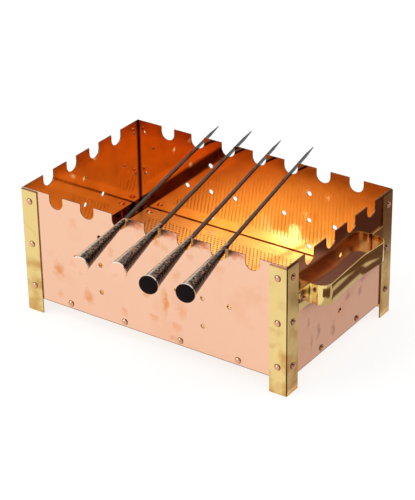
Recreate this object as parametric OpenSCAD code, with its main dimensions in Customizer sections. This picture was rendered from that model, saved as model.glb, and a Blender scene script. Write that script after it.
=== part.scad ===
// Tabletop charcoal brazier: four notched copper walls riveted into brass angle legs,
// a riveted copper pan, a lift-out perforated grate, two brass strap handles and four
// skewers that lie across the notches. X runs along the long walls, Y from front to back.
// The origin lies on the table, under the middle of everything including the skewers.

/* [Body] */
// Length of the long walls, measured over the legs
body_l = 350; // [320:5:420]
// Depth from the front wall to the back wall, measured over the legs
body_d = 220; // [200:5:280]
// Height of the wall sheets
wall_h = 136.5; // [120:0.5:170]
// Height of the walls above the table
foot_h = 18; // [10:1:40]
// Thickness of the copper sheet
sheet_t = 1.2; // [0.8:0.1:2]

/* [Legs] */
// Width of each face of the angle
leg_w = 22; // [18:1:26]
// Thickness of the angle
leg_t = 1.5; // [1:0.1:2.5]
// Outside radius of the angle's bend
leg_bend_r = 2; // [1.6:0.1:4]
// How far the wall edges stand above the leg tops
wall_rise = 1.5; // [0:0.5:4]

/* [Notches] */
// Width of a skewer notch
notch_w = 18.5; // [16:0.5:22]
// Depth of a skewer notch
notch_depth = 16; // [13:0.5:24]
// Distance between the notches of the long walls
notch_pitch = 43; // [36:0.5:50]
// How far the front wall's notches stand to the right of the back wall's
front_shift = 2.5; // [0:0.5:4]
// Distance between the notches of the end walls
end_notch_pitch = 42.5; // [36:0.5:50]

/* [Air holes] */
// Diameter of an air hole
air_hole_d = 6; // [3:0.5:10]
// Distance from the middle hole of a cross to the other four
air_hole_reach = 34; // [20:1:40]
// Distance between the two crosses of a long wall
air_cross_pitch = 136; // [100:1:160]

/* [Rivets] */
// Diameter of a rivet head
head_d = 8; // [6:0.5:9]
// Height of a rivet head
head_h = 2.6; // [1.5:0.1:3.5]
// Diameter of a rivet shank
shank_d = 3.4; // [2.5:0.1:4]
// Diameter of the closed end on the inside
tail_d = 5.2; // [4.5:0.1:6]
// Height of the closed end on the inside
tail_h = 1.3; // [0.8:0.1:1.6]
// Distance of the first and last leg rivet from the wall's edges
rivet_margin = 15; // [13:0.5:24]
// Height of the pan's rivets above the wall's lower edge
pan_rivet_h = 6; // [5:0.5:8]
// Distance between the pan's rivets
pan_rivet_pitch = 75; // [60:1:76]

/* [Pan] */
// Thickness of the pan's sheet
pan_t = 1; // [0.8:0.1:1.5]
// Height of the pan's upturned edges
pan_edge_h = 11; // [10:0.5:12]
// Length of each edge that is cut away at a corner
pan_relief = 3; // [1:0.5:8]

/* [Grate] */
// Thickness of the grate's sheet
grate_t = 1.2; // [0.8:0.1:2]
// Height of the space under the grate
ash_h = 21.3; // [16:0.1:26]
// Width of the plain border
grate_border = 18; // [14:1:24]
// Space between each end of the grate and the wall
grate_end_gap = 11.8; // [4:0.1:14]
// Diameter of a hole
grate_hole_d = 6.5; // [4:0.5:8]
// Distance between the holes
grate_pitch = 14; // [13:0.5:20]
// Diameter of a post
post_d = 8; // [6:0.5:10]
// Distance of a post's axis from the grate's edges
post_inset = 9; // [7:0.5:11]

/* [Handles] */
// Width of the strap
strap_w = 24; // [18:1:30]
// Thickness of the strap
strap_t = 1.5; // [1:0.1:2]
// Distance of the strap's middle line below the wall's top edge
strap_drop = 49.5; // [40:0.5:60]
// Room for the fingers behind the grip's ends
finger_gap = 20.7; // [17:0.1:30]
// Length of the grip, between the middle lines of its two arms
grip_l = 129; // [122:1:131]
// How far the grip bows towards the wall
grip_bow = 4; // [0.5:0.5:5]
// Distance of the bow from the middle of the grip
bow_offset = 16; // [0:1:30]
// Inside radius of the bend at the wall
foot_bend_r = 2.5; // [2:0.5:5]
// Inside radius of the grip's corners
corner_bend_r = 11; // [5:0.5:12]
// Radius of the bow
bow_r = 100; // [60:10:200]

/* [Skewers] */
// Length of a skewer from end cap to tip
skewer_l = 384; // [340:1:420]
// Length of the conical hand grip, with its cap
cone_l = 114; // [108:1:125]
// Diameter of the hand grip at the cap
cone_large_d = 19.2; // [16:0.1:20]
// Diameter of the hand grip where its nose begins
cone_small_d = 7; // [6:0.1:10]
// Length of the nose
nose_l = 10; // [6:1:14]
// Diameter of the nose at the blade
nose_d = 5.2; // [5:0.1:6]
// Diameter of the end cap
cap_d = 21.4; // [18:0.1:22]
// Thickness of the end cap
cap_t = 2.2; // [0.8:0.1:4]
// Width of the square blade at the hand grip
blade_w = 3.5; // [3:0.1:3.5]
// Width of the blade where its point begins
blade_end_w = 2.6; // [2:0.1:3]
// Length of the point
point_l = 24; // [12:1:40]
// Width of the blunted tip
tip_w = 0.8; // [0.4:0.1:1.5]
// Mean length of skewer that stands out in front of the front wall
skewer_out = 92.6; // [75:0.1:95]

/* [Fits] */
// Gap between pieces that lift apart and their seats
rest_gap = 0.3; // [0.2:0.05:0.5]
// Radial gap round a rivet's shank
shank_gap = 0.1; // [0.05:0.05:0.2]
// Gap between a strap's end and the leg beside it
strap_gap = 0.4; // [0.2:0.1:1]
// Gap between the grate and the rivet ends that it passes
grate_gap = 0.7; // [0.4:0.1:1.5]

/* [Hidden] */
$fn = 64;

copper = [0.93, 0.68, 0.55];
dark_copper = [0.45, 0.25, 0.18];
bright_brass = [0.88, 0.76, 0.45];
blade_steel = [0.35, 0.33, 0.33];

// Overrun of every cut past the face that it leaves
cut = 1;

// Places of the sheets
half_l = body_l / 2;
half_d = body_d / 2;
skin = leg_t + sheet_t;
wall_top = foot_h + wall_h;
leg_h = wall_top - wall_rise;
wall_mid = foot_h + wall_h / 2;
inner_l = body_l - 2 * skin;
inner_d = body_d - 2 * skin;

// Notches: a round floor and short straight sides
notch_r = notch_w / 2;
notch_floor = wall_top - notch_depth;
long_notches = floor((body_l - 2 * leg_w - notch_w) / notch_pitch) + 1;
end_notches = floor((body_d - 2 * leg_w - notch_w) / end_notch_pitch) + 1;

// Rivets
leg_rivet_in = (leg_w + leg_t) / 2;
leg_rivet_rows = [foot_h + rivet_margin, wall_mid, wall_top - rivet_margin];
pan_rivet_z = foot_h + pan_rivet_h;
long_pan_rivets = floor((body_l - 2 * leg_w) / pan_rivet_pitch);
end_pan_rivets = floor((body_d - 2 * leg_w) / pan_rivet_pitch);

// Grate and its posts
pan_top = foot_h + pan_t;
grate_z = pan_top + ash_h;
grate_l = inner_l - 2 * grate_end_gap;
grate_d = inner_d - 2 * (tail_h + grate_gap);
row_pitch = grate_pitch * sin(60);
field_l = grate_l - 2 * grate_border - grate_hole_d;
field_d = grate_d - 2 * grate_border - grate_hole_d;
hole_columns = floor(field_l / grate_pitch) + 1;
hole_rows = floor(field_d / row_pitch) + 1;

// Strap handle, seen from above: distance out from the wall, then distance along it
strap_z = wall_top - strap_drop;
strap_mid = strap_t / 2;
arm_y = grip_l / 2;
grip_x = finger_gap + strap_mid;
flange_end_y = half_d - leg_w - strap_gap;
strap_rivet_y = (arm_y + strap_mid + foot_bend_r + flange_end_y) / 2;
strap_corners = [
    [strap_mid, -flange_end_y], [strap_mid, -arm_y], [grip_x, -arm_y],
    [grip_x - grip_bow, bow_offset],
    [grip_x, arm_y], [strap_mid, arm_y], [strap_mid, flange_end_y]
];
strap_radii = [
    for (r = [foot_bend_r, corner_bend_r, bow_r, corner_bend_r, foot_bend_r]) r + strap_mid
];
bend_steps = 8;

// Skewers: each lies from a front notch to the back notch one place further left
skewers = 4;
nose_z = cone_l - nose_l;
cone_radii = [[cap_t, cone_large_d / 2], [nose_z, cone_small_d / 2], [cone_l, nose_d / 2]];
out_shares = [1.08, 0.961, 1.01, 0.95];
first_notch = ceil((long_notches - skewers) / 2);
front_y = -half_d + leg_t + sheet_t / 2;
back_y = -front_y;
wall_run = back_y - front_y;
yaw = atan((notch_pitch + front_shift) / wall_run);
span = wall_run / cos(yaw);

function out_l(i) = skewer_out * out_shares[i];
function blade_w_at(s) =
    blade_w + (blade_end_w - blade_w) * (s - cone_l) / (skewer_l - point_l - cone_l);
function cone_r_at(s) = lookup(s, cone_radii);
// Heights of the axis above the lowest point of a notch
function cone_seat(s) = rest_gap + cone_r_at(s);
function blade_seat(w) = rest_gap + w / 2 + notch_r - sqrt(notch_r * notch_r - w * w / 4);
function front_rise(i) = cone_seat(out_l(i));
function back_rise(i) = blade_seat(blade_w_at(out_l(i) + span));
function tilt(i) = atan((front_rise(i) - back_rise(i)) / span);
function notch_x(i) = (i - (long_notches - 1) / 2) * notch_pitch;

// Extents along Y, which put the origin under the middle of the whole
function cap_y(i) =
    let (along = cos(yaw) * cos(tilt(i)))
    front_y - out_l(i) * along - sqrt(1 - along * along) * cap_d / 2;
function tip_y(i) = front_y + (skewer_l - out_l(i)) * cos(yaw) * cos(tilt(i));
low_y = min([for (i = [0 : skewers - 1]) cap_y(i)]);
high_y = max([for (i = [0 : skewers - 1]) tip_y(i)]);
origin_y = (low_y + high_y) / 2;

// Plane geometry of the bent strap
function unit(v) = v / norm(v);
function left_of(v) = [-v[1], v[0]];
function turned(v, a) = [v[0] * cos(a) - v[1] * sin(a), v[0] * sin(a) + v[1] * cos(a)];
function turn(a, b) = atan2(a[0] * b[1] - a[1] * b[0], a * b);
// Points of the middle line round one bend, each with the direction to its left
function bend(a, b, c, r) =
    let (
        d1 = unit(b - a), angle = turn(d1, unit(c - b)),
        centre = b - d1 * r * tan(abs(angle) / 2) + left_of(d1) * r * sign(angle)
    )
    [
        for (i = [0 : bend_steps])
            let (n = turned(left_of(d1), angle * i / bend_steps)) [centre - n * r * sign(angle), n]
    ];
strap_ends = [strap_corners[0], strap_corners[len(strap_corners) - 1]];
strap_line = [
    [strap_ends[0], left_of([0, 1])],
    for (i = [1 : len(strap_corners) - 2])
        each bend(strap_corners[i - 1], strap_corners[i], strap_corners[i + 1], strap_radii[i - 1]),
    [strap_ends[1], left_of([0, 1])]
];

// Puts the middle of the whole over the origin
module placed() {
    translate([0, -origin_y, 0]) children();
}

// Repeats a piece at equal steps on both sides of zero along X
module row(count, pitch) {
    for (i = [0 : count - 1]) translate([(i - (count - 1) / 2) * pitch, 0, 0]) children();
}

// Outer face of side k, counted anticlockwise from the front: X along it, Z out of it
module on_side(k) {
    reach = k % 2 == 0 ? half_d : half_l;
    rotate([0, 0, 90 * k]) translate([0, -reach, 0]) rotate([90, 0, 0]) children();
}

// Corner of the body: the front left one, mirrored to the right and to the back
module at_corner(right, back) {
    mirror([right, 0, 0]) mirror([0, back, 0]) translate([-half_l, -half_d, 0]) children();
}

module dome(d, h) {
    ball_r = (d * d / 4 + h * h) / (2 * h);
    rotate_extrude() intersection() {
        translate([0, h - ball_r]) circle(r = ball_r);
        square([d, h]);
    }
}

// Rivet through a stack of the given thickness, with the outer face at Z = 0
module rivet(stack) {
    dome(head_d, head_h);
    translate([0, 0, -stack]) cylinder(d = shank_d, h = stack);
    translate([0, 0, -stack]) mirror([0, 0, 1]) dome(tail_d, tail_h);
}

module shank_hole_2d() {
    circle(r = shank_d / 2 + shank_gap);
}

module notch_2d() {
    translate([0, notch_floor + notch_r]) {
        circle(r = notch_r);
        translate([-notch_r, 0]) square([notch_w, notch_depth]);
    }
}

module air_cross_2d() {
    translate([0, wall_mid]) for (p = [[0, 0], [1, 0], [-1, 0], [0, 1], [0, -1]])
        translate(p * air_hole_reach) circle(d = air_hole_d);
}

// Rivet places on one side of the body, as pairs of place along it and height
function leg_rivets(reach) =
    [for (s = [-1, 1], z = leg_rivet_rows) [s * (reach - leg_rivet_in), z]];
function pan_rivets(count) =
    [for (i = [0 : count - 1]) [(i - (count - 1) / 2) * pan_rivet_pitch, pan_rivet_z]];
function strap_rivets() = [for (s = [-1, 1]) [s * strap_rivet_y, strap_z]];

// Sheet of one wall, seen from outside, with its notches moved along it by a shift
module wall_2d(length, notches, pitch, shift, crosses, rivets) {
    difference() {
        translate([-length / 2, foot_h]) square([length, wall_h]);
        translate([shift, 0]) row(notches, pitch) notch_2d();
        row(crosses, air_cross_pitch) air_cross_2d();
        for (p = rivets) translate(p) shank_hole_2d();
    }
}

module long_wall(k) {
    rivets = concat(leg_rivets(half_l), pan_rivets(long_pan_rivets));
    shift = k == 0 ? front_shift : 0;
    color(copper) placed() on_side(k) translate([0, 0, -skin]) linear_extrude(sheet_t)
        wall_2d(body_l - 2 * leg_t, long_notches, notch_pitch, shift, 2, rivets);
}

module end_wall(k) {
    rivets = concat(leg_rivets(half_d), pan_rivets(end_pan_rivets), strap_rivets());
    color(copper) placed() on_side(k) translate([0, 0, -skin]) linear_extrude(sheet_t)
        wall_2d(inner_d, end_notches, end_notch_pitch, 0, 1, rivets);
}

module front_wall() {
    long_wall(0);
}

module right_wall() {
    end_wall(1);
}

module back_wall() {
    long_wall(2);
}

module left_wall() {
    end_wall(3);
}

// Cuts the shank holes of the pan's rivets on all four sides
module pan_rivet_holes() {
    for (k = [0 : 3]) on_side(k) translate([0, 0, -skin - pan_t - cut])
        linear_extrude(pan_t + 2 * cut)
            for (p = pan_rivets(k % 2 == 0 ? long_pan_rivets : end_pan_rivets))
                translate(p) shank_hole_2d();
}

// One upturned edge of the pan along side k
module pan_edge(k, length) {
    on_side(k) translate([-length / 2, foot_h, -skin - pan_t]) cube([length, pan_edge_h, pan_t]);
}

module pan() {
    color(copper) placed() difference() {
        union() {
            translate([-inner_l / 2, -inner_d / 2, foot_h]) cube([inner_l, inner_d, pan_t]);
            for (k = [0, 2]) pan_edge(k, inner_l - 2 * pan_relief);
            for (k = [1, 3]) pan_edge(k, inner_d - 2 * pan_relief);
        }
        pan_rivet_holes();
    }
}

// Section of the angle, with its bend at the origin
module angle_2d() {
    difference() {
        union() {
            translate([leg_bend_r, leg_bend_r]) circle(r = leg_bend_r);
            translate([leg_bend_r, 0]) square([leg_w - leg_bend_r, leg_t]);
            translate([0, leg_bend_r]) square([leg_t, leg_w - leg_bend_r]);
        }
        translate([leg_t, leg_t]) square([leg_w, leg_w]);
    }
}

// Places something on the six rivet places of the front left leg
module on_leg_rivets() {
    for (z = leg_rivet_rows) {
        translate([leg_rivet_in, 0, z]) rotate([90, 0, 0]) children();
        translate([0, leg_rivet_in, z]) rotate([0, -90, 0]) children();
    }
}

module leg(right, back) {
    color(bright_brass) placed() at_corner(right, back) difference() {
        linear_extrude(leg_h) angle_2d();
        on_leg_rivets() translate([0, 0, -leg_t - cut]) linear_extrude(leg_t + 2 * cut) shank_hole_2d();
    }
}

module leg_rivet_set(right, back) {
    color(copper) placed() at_corner(right, back) on_leg_rivets() rivet(skin);
}

module rivets_pan() {
    color(copper) placed() for (k = [0 : 3]) on_side(k)
        for (p = pan_rivets(k % 2 == 0 ? long_pan_rivets : end_pan_rivets))
            translate([p[0], p[1], -leg_t]) rivet(sheet_t + pan_t);
}

// Bent strap, seen from above, with the wall's outer face along Y
module strap_2d() {
    last = len(strap_line) - 1;
    polygon(concat(
        [for (p = strap_line) p[0] + p[1] * strap_mid],
        [for (i = [last : -1 : 0]) strap_line[i][0] - strap_line[i][1] * strap_mid]
    ));
}

// Handle of side k, which is 1 on the right and 3 on the left
module handle(k) {
    color(bright_brass) placed() difference() {
        rotate([0, 0, 90 * (k - 1)]) translate([half_l - leg_t, 0, strap_z - strap_w / 2])
            linear_extrude(strap_w) strap_2d();
        on_side(k) for (p = strap_rivets()) translate([p[0], p[1], -leg_t - cut])
            linear_extrude(strap_t + 2 * cut) shank_hole_2d();
    }
}

module strap_rivet_set(k) {
    color(copper) placed() on_side(k) for (p = strap_rivets())
        translate([p[0], p[1], strap_t - leg_t]) rivet(strap_t + sheet_t);
}

// Repeats something on the axes of the four posts
module on_posts() {
    for (x = [-1, 1], y = [-1, 1])
        translate([x * (grate_l / 2 - post_inset), y * (grate_d / 2 - post_inset), 0]) children();
}

module grate() {
    color(bright_brass) placed() translate([0, 0, grate_z]) linear_extrude(grate_t) difference() {
        square([grate_l, grate_d], center = true);
        for (j = [0 : hole_rows - 1]) translate([0, (j - (hole_rows - 1) / 2) * row_pitch])
            row(hole_columns - j % 2, grate_pitch) circle(d = grate_hole_d);
        on_posts() shank_hole_2d();
    }
}

// Posts riveted into the grate, which stand on the pan
module grate_posts() {
    post_h = ash_h - rest_gap;
    color(copper) placed() on_posts() translate([0, 0, pan_top + rest_gap]) {
        cylinder(d = post_d, h = post_h);
        cylinder(d = shank_d, h = post_h + grate_t);
        translate([0, 0, post_h + grate_t]) dome(head_d, head_h);
    }
}

// Lays skewer i, drawn along Z from its cap, across its two notches
module laid(i) {
    seat_x = notch_x(first_notch + i) + front_shift;
    placed() translate([seat_x, front_y, notch_floor + front_rise(i)])
        rotate([-90 - tilt(i), 0, yaw]) translate([0, 0, -out_l(i)]) children();
}

module blade_side_2d() {
    polygon([
        [-blade_w / 2, cone_l], [blade_w / 2, cone_l],
        [blade_end_w / 2, skewer_l - point_l], [tip_w / 2, skewer_l],
        [-tip_w / 2, skewer_l], [-blade_end_w / 2, skewer_l - point_l]
    ]);
}

// Square forged blade, tapered in both views
module blade(i) {
    color(blade_steel) laid(i) intersection() {
        translate([0, blade_w, 0]) rotate([90, 0, 0]) linear_extrude(2 * blade_w) blade_side_2d();
        rotate([0, 0, 90]) translate([0, blade_w, 0]) rotate([90, 0, 0])
            linear_extrude(2 * blade_w) blade_side_2d();
    }
}

module cone(i) {
    color(dark_copper) laid(i) {
        translate([0, 0, cap_t])
            cylinder(d1 = cone_large_d, d2 = cone_small_d, h = nose_z - cap_t);
        translate([0, 0, nose_z]) cylinder(d1 = cone_small_d, d2 = nose_d, h = nose_l);
    }
}

module cap(i) {
    color(copper) laid(i) cylinder(d = cap_d, h = cap_t);
}

front_wall();
back_wall();
left_wall();
right_wall();
pan();
leg(0, 0);  // leg_front_left
leg(1, 0);  // leg_front_right
leg(0, 1);  // leg_back_left
leg(1, 1);  // leg_back_right
leg_rivet_set(0, 0);  // rivets_front_left
leg_rivet_set(1, 0);  // rivets_front_right
leg_rivet_set(0, 1);  // rivets_back_left
leg_rivet_set(1, 1);  // rivets_back_right
rivets_pan();
handle(3);  // handle_left
handle(1);  // handle_right
strap_rivet_set(3);  // rivets_handle_left
strap_rivet_set(1);  // rivets_handle_right
grate();
grate_posts();
blade(0);  // skewer_1_blade
cone(0);  // skewer_1_cone
cap(0);  // skewer_1_cap
blade(1);  // skewer_2_blade
cone(1);  // skewer_2_cone
cap(1);  // skewer_2_cap
blade(2);  // skewer_3_blade
cone(2);  // skewer_3_cone
cap(2);  // skewer_3_cap
blade(3);  // skewer_4_blade
cone(3);  // skewer_4_cone
cap(3);  // skewer_4_cap
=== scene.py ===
"""Dresses the tabletop charcoal brazier: copper walls, brass legs, fine grate, straps and skewers."""

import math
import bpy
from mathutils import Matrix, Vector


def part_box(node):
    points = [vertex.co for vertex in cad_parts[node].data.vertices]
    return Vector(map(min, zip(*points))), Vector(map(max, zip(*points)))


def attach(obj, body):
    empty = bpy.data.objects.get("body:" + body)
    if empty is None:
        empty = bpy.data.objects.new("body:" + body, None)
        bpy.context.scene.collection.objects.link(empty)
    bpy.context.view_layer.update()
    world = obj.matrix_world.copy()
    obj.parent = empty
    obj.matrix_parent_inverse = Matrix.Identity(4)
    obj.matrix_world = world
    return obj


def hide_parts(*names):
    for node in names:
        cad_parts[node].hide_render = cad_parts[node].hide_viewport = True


bl_info = {
    "name": "Copper Brazier",
    "version": (1, 0, 0),
    "blender": (4, 5, 0),
    "location": "View3D > Sidebar > Brazier",
    "description": "Builds the metalwork, the finishes and the studio of a tabletop charcoal brazier",
    "category": "Object",
}

from functools import partialmethod

import bmesh
import bpy
from bpy.props import BoolProperty, FloatProperty, FloatVectorProperty, IntProperty, PointerProperty
from mathutils import Matrix, Vector, noise

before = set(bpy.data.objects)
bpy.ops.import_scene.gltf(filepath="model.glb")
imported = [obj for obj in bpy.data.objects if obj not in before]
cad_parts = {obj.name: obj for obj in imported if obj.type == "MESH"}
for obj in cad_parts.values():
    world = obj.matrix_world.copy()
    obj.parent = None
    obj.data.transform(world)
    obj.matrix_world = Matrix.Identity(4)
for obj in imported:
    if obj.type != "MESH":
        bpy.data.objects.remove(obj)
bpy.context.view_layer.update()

MM = 0.001
SKEWERS = (1, 2, 3, 4)
# End caps that get a painted dark reflection instead of copper
SHADED_CAPS = (3, 4)
WALLS = ("front_wall", "back_wall", "left_wall", "right_wall")
END_WALLS = ("left_wall", "right_wall")
LEGS = ("leg_front_left", "leg_front_right", "leg_back_left", "leg_back_right")
RIVET_SETS = (
    "rivets_front_left", "rivets_front_right", "rivets_back_left", "rivets_back_right",
    "rivets_pan", "rivets_handle_left", "rivets_handle_right",
)

# Heat marks on the walls in millimetres: place along the wall, height, half width, half height, strength
FRONT_MARKS = (
    (-128, 63, 9, 13, 1.0),
    (-127, 32, 7, 8, 0.5),
    (-87, 40, 10, 11, 0.95),
    (-102, 127, 6, 10, 0.25),
    (-53, 108, 6, 9, 0.4),
    (-38, 38, 6, 8, 0.5),
    (19, 66, 6, 20, 1.0),
    (3, 43, 6, 4, 0.6),
    (-6, 68, 5, 4, 0.6),
    (40, 61, 8, 12, 0.5),
    (34, 40, 8, 7, 0.55),
    (28, 26, 8, 4, 0.6),
    (90, 128, 7, 7, 0.4),
    (10, 137, 7, 7, 0.7),
    (19, 133, 5, 5, 0.4),
    (53, 133, 6, 6, 0.5),
    (35, 103, 6, 11, 0.35),
)
RIGHT_MARKS = (
    (-31, 49, 5, 13, 0.6),
    (0, 36, 6, 11, 0.7),
    (-45, 41, 4, 10, 0.5),
    (-52, 69, 4, 9, 0.5),
    (29, 62, 6, 9, 0.5),
    (56, 56, 5, 8, 0.5),
    (64, 69, 8, 4, 0.6),
)
# Right rims of the front notches that hold a skewer, in millimetres from the middle
NOTCH_RIMS = (-31.2, 11.8, 54.8, 97.8)
# Marks at each of these rims in millimetres: place beside the rim, half width, half height, strength
# The first is a painted highlight on the rim, the second a red streak beside it
RIM_HIGHLIGHT = (0.5, 3.6, 9, 1.0)
RIM_RED = (14, 15, 6, 0.9)
# Their depth below the wall's top, and the reach of every mark through the sheet
RIM_DEPTH = 4 * MM
MARK_REACH = 5 * MM
# How far the noise pulls a mark out of shape
MARK_SHIFT = 14 * MM
# Painted shade high on the end walls' outer faces: depth of the faces that it lies on, where it starts and
# how far it builds up
OUTER_SKIN = 0.3 * MM
END_SHADE_START = 108 * MM
END_SHADE_RISE = 20 * MM
# Depth of the band of scorch and painted shade along the top of the fire side, and width of the painted
# shade in its corners
TOP_BAND_DEPTH = 28 * MM
CORNER_SHADE = 4 * MM
# Height in which the legs' tarnish fades, and the painted shadow band at their heads
FOOT_TARNISH = 90 * MM
HEAD_BAND = 3 * MM
# Roughness of the smoothest metal, of the polished fire side and of the clear coat
LEAST_ROUGHNESS = 0.03
INSIDE_ROUGHNESS = 0.07
COAT_ROUGHNESS = 0.04
# Radius of a hammer dent, as a share of the width in the settings
DENT_REACH = 0.6
# Painted shadow at the collar of a hand grip beside its cap, and the side that gets a painted highlight; the
# side away from it gets painted shade
GRIP_COLLAR = 1.2 * MM
LIT_SIDE = Vector((-0.55, -0.30, 0.70))
# Vertices closer than this are one
WELD = 0.01 * MM

# The floor's own grey, and how brightly it shines where it is seen directly
FLOOR_GREY = (0.30, 0.30, 0.30)
FLOOR_GLOW = 0.78
# The sky's light, and what is added to it where it is seen directly
SKY_LIGHT = 0.6
SKY_SEEN = 0.4
# Cards that the metal mirrors: the colour and strength of their light
CARD_LIGHT = {
    "Dark card": ((0.13, 0.065, 0.05), 1.0),
    "Grey card": ((0.62, 0.55, 0.52), 1.0),
    "Softbox": ((0.94, 0.96, 1.0), 9.0),
    "Strip": ((0.88, 0.94, 1.0), 34.0),
}
# Flat cards just above the floor: light, height in millimetres and outline in metres
FLAT_CARDS = {
    # The grey card stands in for the floor's shadow to the right, as a painted shadow that the metal mirrors
    "Card_right_far": ("Grey card", 0.8, [(0.180, -0.15), (0.75, -0.15), (0.75, 0.9), (0.180, 0.9)]),
    "Card_right": ("Dark card", 1.0, [
        (0.323, 0.14), (0.322, 0.195), (0.29, 0.20), (0.251, 0.264), (0.225, 0.383),
        (0.385, 0.60), (0.60, 0.60), (0.60, 0.163),
    ]),
    "Card_loop": ("Dark card", 1.0, [
        (0.256, 0.07), (0.289, 0.07), (0.289, 0.20), (0.251, 0.264), (0.241, 0.245), (0.241, 0.19),
    ]),
    "Card_front_right": ("Dark card", 1.0, [
        (0.30, -0.17), (0.345, -0.12), (0.345, -0.03), (0.35, 0.03), (0.50, 0.066),
        (0.52, -0.16), (0.40, -0.33), (0.286, -0.20),
    ]),
}
# Cards bent round the object: light, bearings and heights in degrees and distance in metres
BENT_CARDS = {
    "Room_low": ("Dark card", (-30, 88), (3, 22), 3.0),
    "Room_high": ("Dark card", (-30, 40), (22, 65), 3.0),
    "Softbox": ("Softbox", (-122.9, -114), (26.8, 33), 2.9),
    "Strip": ("Strip", (-123.7, -121.2), (28.4, 29.8), 2.88),
}


def box_size(node):
    """Size of a frame node along X, Y and Z."""
    low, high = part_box(node)
    return high - low


def enclosing(points):
    """Lowest and highest corner of the box round some points."""
    return [Vector(pick(point[i] for point in points) for i in range(3)) for pick in (min, max)]


def body_box():
    """Lowest and highest corner of the four legs, which enclose the body."""
    return enclosing([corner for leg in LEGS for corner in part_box(leg)])


# Distance between the rows of a staggered field, as a share of its pitch
ROW_SHARE = math.sin(math.radians(60))
SHEET = box_size("front_wall").y
LEG_SHEET = 1.25 * SHEET
GRATE_SHEET = box_size("grate").z


def length(name, text, value, low=0.0, high=1000.0):
    """A length, given in millimetres."""
    return FloatProperty(
        name=name, description=text, default=value * MM, min=low * MM, max=high * MM,
        subtype="DISTANCE", unit="LENGTH",
    )


def colour(name, text, value):
    return FloatVectorProperty(
        name=name, description=text, default=value, min=0.0, max=1.0, size=3, subtype="COLOR"
    )


def angle(name, text, degrees):
    turn = math.radians(degrees)
    return FloatProperty(name=name, description=text, default=turn, subtype="ANGLE", unit="ROTATION")


class FinishSettings(bpy.types.PropertyGroup):
    """Colours of the metals, in linear light."""

    copper: colour("Copper", "Polished copper of the walls", (0.90, 0.545, 0.375))
    copper_heat: colour("Heat tint", "Orange blotches on the copper", (0.80, 0.32, 0.12))
    copper_inside: colour("Fired copper", "Copper on the fire side of the walls", (0.96, 0.47, 0.15))
    # Also the painted shade along the top of the fire side and high on the end walls' outer faces
    scorch_and_shade: colour("Scorch", "Brown film at the top edges and corners of the fire side", (0.34, 0.11, 0.03))
    # Painted shade on the cut edges, inner corners and bottom edge of the walls, on the legs' edges and
    # heads, and round the rivet heads
    edge_shade: colour("Cut edge", "Darkened cut edges of the sheets", (0.06, 0.025, 0.012))
    pan: colour("Pan", "Copper of the pan under the ash", (0.80, 0.45, 0.16))
    smudge: colour("Smudge", "Brown smudges on the side walls", (0.42, 0.20, 0.15))
    # Painted highlight on the notch rims where the skewers rest
    rim_highlight: colour("Rim highlight", "Notch rims that the skewers rub", (1.0, 0.50, 0.09))
    rim_red: colour("Rim red", "Red heat tint beside the rubbed rims", (0.80, 0.24, 0.10))
    brass: colour("Brass", "Polished brass of legs and straps", (0.82, 0.62, 0.25))
    brass_tarnish: colour("Brass tarnish", "Brown film on the brass", (0.56, 0.28, 0.07))
    grate_brass: colour("Grate brass", "Warm brass of the grate", (0.95, 0.66, 0.27))
    rivet: colour("Rivet copper", "Copper of the rivets", (0.74, 0.38, 0.24))
    # Also the painted shade on the grips' far side and at their collar by the cap
    grip: colour("Grip copper", "Dark oxidised copper in the dents of the hand grips", (0.012, 0.008, 0.007))
    grip_high: colour("Grip high spots", "Rubbed ridges of the hand grips", (0.30, 0.16, 0.10))
    # Painted highlight along one side of the hand grips
    grip_highlight: colour("Grip highlight", "Side of the hand grips that the hand polishes", (0.70, 0.56, 0.40))
    grip_olive: colour("Grip patina", "Olive patina of the hand grips", (0.095, 0.07, 0.045))
    # Painted dark reflection on two of the end caps, and the stain of the blades
    cap_shade_and_stain: colour("Shaded cap", "End caps that smoke has darkened", (0.012, 0.008, 0.008))
    # Painted highlight on the rims of the end caps
    cap_rim_highlight: colour("Cap rim", "Bright rims of the end caps", (0.90, 0.82, 0.76))
    steel: colour("Blade steel", "Forged steel of the blades", (0.032, 0.03, 0.032))


class GrateSettings(bpy.types.PropertyGroup):
    """Sizes of the perforated sheet."""

    pitch: length("Pitch", "Distance between the perforations", 5.0, 3.0, 8.0)
    hole: length("Hole", "Diameter of a perforation", 2.4, 1.0, 6.0)
    border: length("Border", "Width of the plain edge", 19.0, 10.0, 30.0)
    step: length("Step", "Height of the plain edge above the perforated field", 0.05)


class StrapSettings(bpy.types.PropertyGroup):
    """Sizes of the bent strap handles."""

    thickness: length("Thickness", "Thickness of the strap", 1.5)
    grip: length("Grip", "Length of the grip between the middle lines of its arms", 129.0)
    bow: length("Bow", "How far the grip bows towards the wall", 4.0)
    bow_offset: length("Bow offset", "How far the bow lies from the middle of the grip", 16.0)
    foot_radius: length("Foot radius", "Inside radius of the bend at the wall", 2.5)
    corner_radius: length("Corner radius", "Inside radius of the grip's corners", 11.0)
    bow_radius: length("Bow radius", "Radius of the bow", 100.0)
    edge: length("Edge", "Rounding of the strap's edges", 0.4)
    steps: IntProperty(name="Bend steps", description="Sections round each bend", default=20, min=4)


class RivetSettings(bpy.types.PropertyGroup):
    """Sizes of the copper rivets."""

    head: length("Head", "Diameter of a head", 8.0)
    head_height: length("Head height", "Height of a head", 2.6)
    shank: length("Shank", "Diameter of a shank", 3.4)
    tail: length("Tail", "Diameter of the closed end", 5.2)
    tail_height: length("Tail height", "Height of the closed end", 1.3)
    segments: IntProperty(name="Segments", description="Sides of a rivet", default=28, min=8)


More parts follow.
